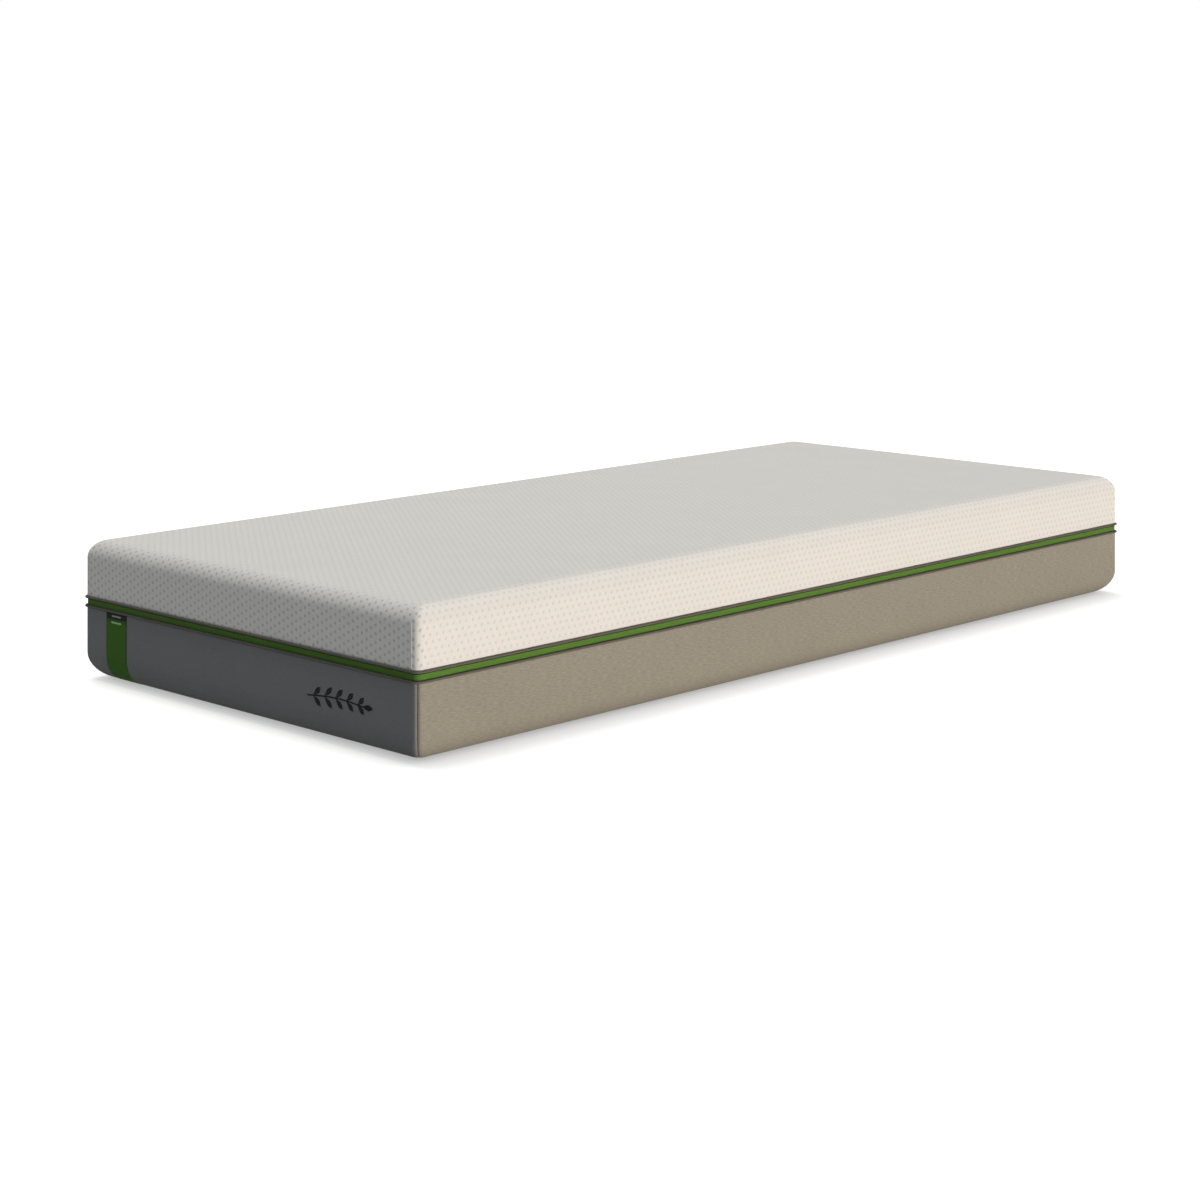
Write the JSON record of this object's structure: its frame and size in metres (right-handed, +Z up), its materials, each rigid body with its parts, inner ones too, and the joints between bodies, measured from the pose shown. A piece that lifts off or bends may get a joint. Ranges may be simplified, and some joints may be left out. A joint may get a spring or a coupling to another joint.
{
  "type": "mattress",
  "caption": "Single mattress with rounded edges: foam over pocketed springs inside a two-part cloth cover whose knitted top zips off above a green band.",
  "frame": {"origin": "centre of the underside, on the plane the mattress lies on", "axes": "+X along the mattress from the foot end (tag and emblem) to the head end, +Y to the right of a sleeper on their back, +Z up"},
  "size_m": [2.008, 0.908, 0.25],
  "materials": {
    "white_knit": "matte double knit with staggered dimples",
    "piping_cloth": "matte taupe cloth over cord",
    "green_webbing": "matte ribbed green webbing",
    "taupe_linen": "matte slubbed melange",
    "dark_grey_weave": "matte plain weave",
    "base_grip_cloth": "matte cloth with grip dots",
    "black_satin": "satin ribbon",
    "green_satin": "satin ribbon",
    "black_thread": "satin-stitched thread",
    "zip_tape_cloth": "matte herringbone tape",
    "zip_nylon": "satin nylon coil",
    "zip_zinc": "satin plated zinc",
    "comfort_foam_cells": "matte open-cell foam",
    "memory_foam_cells": "matte fine-cell foam",
    "transition_foam_cells": "matte foam",
    "base_foam_cells": "matte foam",
    "rail_foam_cells": "matte foam",
    "scrim_felt": "matte spunbond felt",
    "pocket_fleece": "matte spunbond pockets"
  },
  "bodies": {
    "mattress_body": {"lower_piping": "piping_cloth", "trim_band": "green_webbing", "left_side_panel": "taupe_linen", "right_side_panel": "taupe_linen", "foot_panel": "dark_grey_weave", "head_panel": "dark_grey_weave", "base_panel": "base_grip_cloth", "tag_header": "black_satin", "tag_ribbon": "green_satin", "leaf_emblem": "black_thread", "lower_zip_tape": "zip_tape_cloth", "lower_zip_coil": "zip_nylon", "zip_end_stop": "zip_zinc", "comfort_foam": "comfort_foam_cells", "memory_foam": "memory_foam_cells", "transition_foam": "transition_foam_cells", "base_foam": "base_foam_cells", "left_edge_rail": "rail_foam_cells", "right_edge_rail": "rail_foam_cells", "foot_edge_rail": "rail_foam_cells", "head_edge_rail": "rail_foam_cells", "upper_scrim": "scrim_felt", "lower_scrim": "scrim_felt", "spring_string_01": "pocket_fleece", "spring_string_02": "pocket_fleece", "spring_string_03": "pocket_fleece", "spring_string_04": "pocket_fleece", "spring_string_05": "pocket_fleece", "spring_string_06": "pocket_fleece", "spring_string_07": "pocket_fleece", "spring_string_08": "pocket_fleece", "spring_string_09": "pocket_fleece", "spring_string_10": "pocket_fleece", "spring_string_11": "pocket_fleece", "spring_string_12": "pocket_fleece"},
    "removable_cover": {"top_cover": "white_knit", "upper_piping": "piping_cloth", "upper_zip_tape": "zip_tape_cloth", "upper_zip_coil": "zip_nylon"},
    "slider": {"zip_slider": "zip_zinc"},
    "pull": {"zip_pull": "zip_zinc"}
  },
  "joints": [
    {"name": "top_cover_lift", "type": "slide", "parent": "mattress_body", "child": "removable_cover", "axis": [0, 0, 1], "range_m": [0, 0.2]},
    {"name": "zip_travel", "type": "slide", "parent": "mattress_body", "child": "slider", "axis": [0, 1, 0], "range_m": [0, 0.72]},
    {"name": "zip_pull_swing", "type": "hinge", "parent": "slider", "child": "pull", "pos_m": [1.0015, -0.36, 0.139], "axis": [0, 0, -1], "range_deg": [0, 180]}
  ]
}
